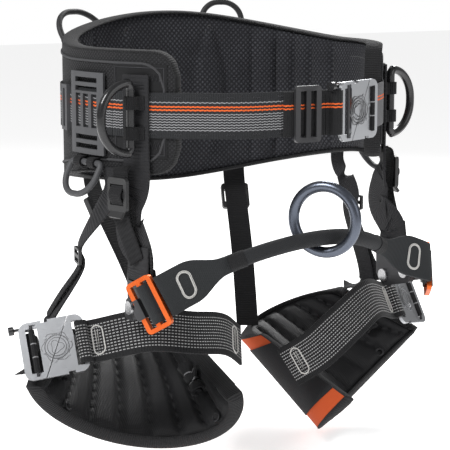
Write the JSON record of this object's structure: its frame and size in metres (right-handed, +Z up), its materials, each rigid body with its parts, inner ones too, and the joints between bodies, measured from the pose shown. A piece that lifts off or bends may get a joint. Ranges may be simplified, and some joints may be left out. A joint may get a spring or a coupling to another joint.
{
  "type": "tree climbing saddle",
  "caption": "Arborist's climbing saddle: padded waist belt, side D-rings, flexible front bridge with ring, and two padded leg loops with quick buckles.",
  "frame": {"origin": "middle of the waist opening, level with the waist webbing's hardware", "axes": "+X to the wearer's left, -Y to the wearer's front, +Z up"},
  "size_m": [0.5186, 0.3841, 0.4617],
  "materials": {
    "mesh": "matte black spacer mesh",
    "shell": "matte charcoal woven fabric",
    "binding": "ribbed tape",
    "webbing": "woven polyester webbing with grey and orange lines",
    "strap": "narrow black webbing",
    "tape": "dense dark grey webbing with light stitching",
    "moulded": "matte moulded plastic",
    "black_plastic": "satin moulded plastic",
    "black_metal": "satin black coating",
    "rubber": "matte rubber sleeve",
    "silver": "satin anodised",
    "steel": "brushed",
    "orange": "satin orange anodising",
    "ring_metal": "blue-grey anodising"
  },
  "bodies": {
    "root": {"waist_pad": "mesh", "waist_shell": "shell", "waist_binding": "binding", "back_webbing": "webbing", "hip_plates": "moulded", "slot_loops": "moulded", "front_webbing": "webbing", "front_webbing_tail": "webbing", "front_adjuster": "black_metal", "belt_stub": "webbing", "waist_buckle_frame": "silver", "waist_buckle_plate": "silver", "hip_riser_left": "strap", "hip_riser_right": "strap", "lock_straps": "strap", "ladder_locks": "black_plastic", "side_riser_left": "strap", "side_riser_right": "strap", "rear_riser_left": "strap", "rear_riser_right": "strap", "riser_clips": "black_plastic", "side_sliders": "black_plastic", "d_ring_keepers": "strap", "rear_ring_tabs": "strap", "gear_loop_tabs": "strap", "hip_link_left": "black_metal", "hip_link_right": "black_metal", "link_pins": "steel"},
    "d_ring_left": {"d_ring_left": "black_metal"},
    "rear_ring_left": {"rear_ring_left": "rubber"},
    "gear_loop_left": {"gear_loop_left": "black_plastic"},
    "d_ring_right": {"d_ring_right": "black_metal"},
    "rear_ring_right": {"rear_ring_right": "rubber"},
    "gear_loop_right": {"gear_loop_right": "black_plastic"},
    "bridge": {"bridge_frame_left": "orange", "bridge_frame_right": "orange", "bridge_hangers": "black_metal", "bridge_tapes": "tape", "bridge_sleeve": "tape"},
    "ring": {"bridge_ring": "ring_metal"},
    "leg_left": {"leg_pad_left": "mesh", "leg_shell_left": "shell", "leg_webbing_left": "webbing", "leg_link_left": "black_metal", "leg_buckle_left_frame": "silver", "leg_buckle_left_plate": "silver"},
    "leg_buckle_left_bar": {"leg_buckle_left_bar": "steel"},
    "leg_buckle_left_knob": {"leg_buckle_left_knob": "black_plastic"},
    "leg_right": {"leg_pad_right": "mesh", "leg_shell_right": "shell", "leg_webbing_right": "webbing", "leg_link_right": "black_metal", "leg_buckle_right_frame": "silver", "leg_buckle_right_plate": "silver"},
    "leg_buckle_right_bar": {"leg_buckle_right_bar": "steel"},
    "leg_buckle_right_knob": {"leg_buckle_right_knob": "black_plastic"},
    "waist_buckle_bar": {"waist_buckle_bar": "steel"},
    "waist_buckle_knob": {"waist_buckle_knob": "black_plastic"}
  },
  "joints": [
    {"name": "d_ring_left_swing", "type": "hinge", "parent": "root", "child": "d_ring_left", "pos_m": [0.16432, -0.08358, -0.007], "axis": [0, 0, 1], "range_deg": [-119, 31]},
    {"name": "rear_ring_left_fold", "type": "hinge", "parent": "root", "child": "rear_ring_left", "pos_m": [0.08157, 0.12745, 0.05], "axis": [-0.9539, 0.3, 0], "range_deg": [-12, 128]},
    {"name": "gear_loop_left_swing", "type": "hinge", "parent": "root", "child": "gear_loop_left", "pos_m": [0.17562, -0.02526, -0.056], "axis": [0.1578, 0.9875, 0], "range_deg": [-62, 22]},
    {"name": "d_ring_right_swing", "type": "hinge", "parent": "root", "child": "d_ring_right", "pos_m": [-0.16037, -0.09058, -0.007], "axis": [0, 0, 1], "range_deg": [-53, 97]},
    {"name": "rear_ring_right_fold", "type": "hinge", "parent": "root", "child": "rear_ring_right", "pos_m": [-0.09197, 0.12418, 0.05], "axis": [-0.9539, -0.3, 0], "range_deg": [-36, 104]},
    {"name": "gear_loop_right_swing", "type": "hinge", "parent": "root", "child": "gear_loop_right", "pos_m": [-0.17562, -0.02526, -0.056], "axis": [0.1578, -0.9875, 0], "range_deg": [-62, 22]},
    {"name": "bridge_swing", "type": "hinge", "parent": "root", "child": "bridge", "pos_m": [0, -0.128, -0.186], "axis": [1, 0, 0], "range_deg": [-35, 35]},
    {"name": "ring_turn", "type": "hinge", "parent": "bridge", "child": "ring", "pos_m": [0, -0.194, -0.125], "axis": [1, 0, 0], "continuous": true},
    {"name": "leg_left_swing", "type": "hinge", "parent": "root", "child": "leg_left", "pos_m": [0.156, -0.092, -0.196], "axis": [1, 0, 0], "range_deg": [-10, 12], "stiffness_Nm_per_rad": 10},
    {"name": "leg_buckle_left_clamp", "type": "slide", "parent": "leg_left", "child": "leg_buckle_left_bar", "axis": [-0.8773, -0.4466, 0.1755], "range_m": [0, 0.003]},
    {"name": "leg_buckle_left_release", "type": "slide", "parent": "leg_left", "child": "leg_buckle_left_knob", "axis": [0.8773, 0.4466, -0.1755], "range_m": [0, 0.003], "stiffness_N_per_m": 400},
    {"name": "leg_right_swing", "type": "hinge", "parent": "root", "child": "leg_right", "pos_m": [-0.156, -0.092, -0.196], "axis": [1, 0, 0], "range_deg": [-10, 12], "stiffness_Nm_per_rad": 10},
    {"name": "leg_buckle_right_clamp", "type": "slide", "parent": "leg_right", "child": "leg_buckle_right_bar", "axis": [0.8773, -0.4466, 0.1755], "range_m": [0, 0.003]},
    {"name": "leg_buckle_right_release", "type": "slide", "parent": "leg_right", "child": "leg_buckle_right_knob", "axis": [-0.8773, 0.4466, -0.1755], "range_m": [0, 0.003], "stiffness_N_per_m": 400},
    {"name": "waist_buckle_clamp", "type": "slide", "parent": "root", "child": "waist_buckle_bar", "axis": [0.9415, 0.3369, 0], "range_m": [0, 0.003]},
    {"name": "waist_buckle_release", "type": "slide", "parent": "root", "child": "waist_buckle_knob", "axis": [-0.9415, -0.3369, 0], "range_m": [0, 0.003], "stiffness_N_per_m": 400}
  ]
}
